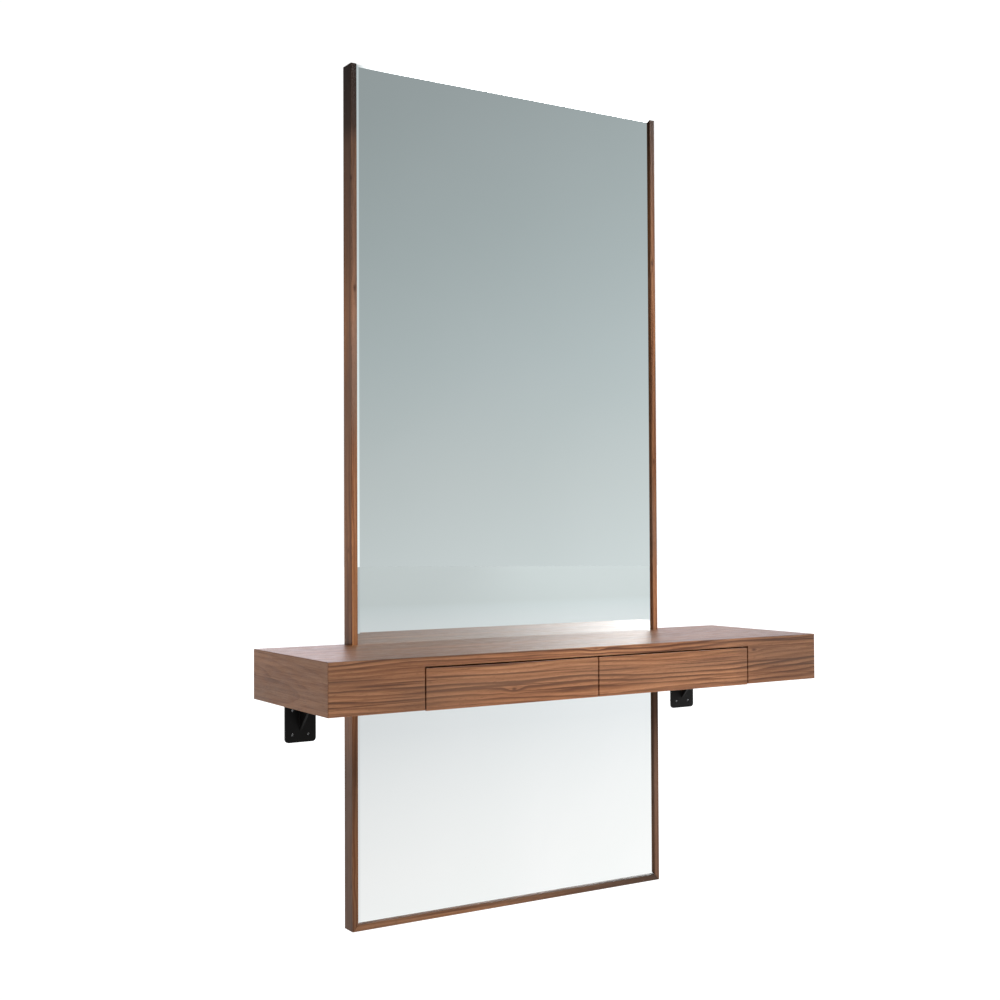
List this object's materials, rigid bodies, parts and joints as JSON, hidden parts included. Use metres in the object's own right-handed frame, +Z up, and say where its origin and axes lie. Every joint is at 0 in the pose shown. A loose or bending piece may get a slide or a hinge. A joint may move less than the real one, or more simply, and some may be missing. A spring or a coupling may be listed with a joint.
{
  "type": "salon styling station",
  "caption": "Wall-hung salon styling station: tall slim-framed mirror with a box shelf notched round it, flush drawers with finger pulls, and gusseted angle brackets.",
  "frame": {"origin": "on the wall's face, on the station's centre line and level with the underside of the shelf, which is the middle of the lower batten's back", "axes": "+X to the right of someone who faces the mirror, +Y into the wall, +Z up; the mirror faces -Y"},
  "size_m": [1.2192, 0.3806, 1.8288],
  "materials": {
    "walnut": "satin lacquered walnut, grain along each piece",
    "birch_ply": "clear lacquered birch plywood",
    "silvered_glass": "polished silvered glass with bevelled edges",
    "black_steel": "black powder coat, satin",
    "zinc_steel": "bright zinc plate",
    "aluminium": "mill finish extrusion"
  },
  "bodies": {
    "root": {"stile_left": "walnut", "stile_right": "walnut", "bottom_rail": "walnut", "top_rail": "walnut", "lower_batten": "walnut", "top_board": "walnut", "front_frame": "walnut", "end_left": "walnut", "end_right": "walnut", "bottom_board": "walnut", "backing_board": "birch_ply", "partition_left": "birch_ply", "partition_right": "birch_ply", "partition_centre": "birch_ply", "back_rail_left": "birch_ply", "back_rail_right": "birch_ply", "back_rail_centre": "birch_ply", "slide_left_outer_cabinet": "zinc_steel", "slide_left_inner_cabinet": "zinc_steel", "slide_right_outer_cabinet": "zinc_steel", "slide_right_inner_cabinet": "zinc_steel", "wall_screw_left_lower_left": "zinc_steel", "wall_screw_left_lower_right": "zinc_steel", "wall_screw_left_upper_left": "zinc_steel", "wall_screw_left_upper_right": "zinc_steel", "wall_screw_right_lower_left": "zinc_steel", "wall_screw_right_lower_right": "zinc_steel", "wall_screw_right_upper_left": "zinc_steel", "wall_screw_right_upper_right": "zinc_steel", "leg_screw_left_front": "zinc_steel", "leg_screw_left_rear": "zinc_steel", "leg_screw_right_front": "zinc_steel", "leg_screw_right_rear": "zinc_steel", "wall_cleat_screw_left": "zinc_steel", "wall_cleat_screw_right": "zinc_steel", "frame_cleat_screw_left": "zinc_steel", "frame_cleat_screw_right": "zinc_steel", "mirror_glass": "silvered_glass", "bracket_left": "black_steel", "bracket_right": "black_steel", "frame_cleat": "aluminium", "wall_cleat": "aluminium"},
    "drawer_left": {"drawer_left_front": "walnut", "drawer_left_inner_side": "birch_ply", "drawer_left_outer_side": "birch_ply", "drawer_left_bottom": "birch_ply", "drawer_left_back": "birch_ply", "slide_left_outer_drawer": "zinc_steel", "slide_left_inner_drawer": "zinc_steel"},
    "slide_middles_left": {"slide_left_outer_middle": "zinc_steel", "slide_left_inner_middle": "zinc_steel"},
    "drawer_right": {"drawer_right_front": "walnut", "drawer_right_inner_side": "birch_ply", "drawer_right_outer_side": "birch_ply", "drawer_right_bottom": "birch_ply", "drawer_right_back": "birch_ply", "slide_right_outer_drawer": "zinc_steel", "slide_right_inner_drawer": "zinc_steel"},
    "slide_middles_right": {"slide_right_outer_middle": "zinc_steel", "slide_right_inner_middle": "zinc_steel"}
  },
  "joints": [
    {"name": "drawer_left_slide", "type": "slide", "parent": "root", "child": "drawer_left", "axis": [0, -1, 0], "range_m": [0, 0.25]},
    {"name": "slide_middles_left_travel", "type": "slide", "parent": "root", "child": "slide_middles_left", "axis": [0, -1, 0], "range_m": [0, 0.125]},
    {"name": "drawer_right_slide", "type": "slide", "parent": "root", "child": "drawer_right", "axis": [0, -1, 0], "range_m": [0, 0.25]},
    {"name": "slide_middles_right_travel", "type": "slide", "parent": "root", "child": "slide_middles_right", "axis": [0, -1, 0], "range_m": [0, 0.125]}
  ],
  "couplings": [
    {"joint": "slide_middles_left_travel", "follows": "drawer_left_slide", "ratio": 0.5},
    {"joint": "slide_middles_right_travel", "follows": "drawer_right_slide", "ratio": 0.5}
  ]
}
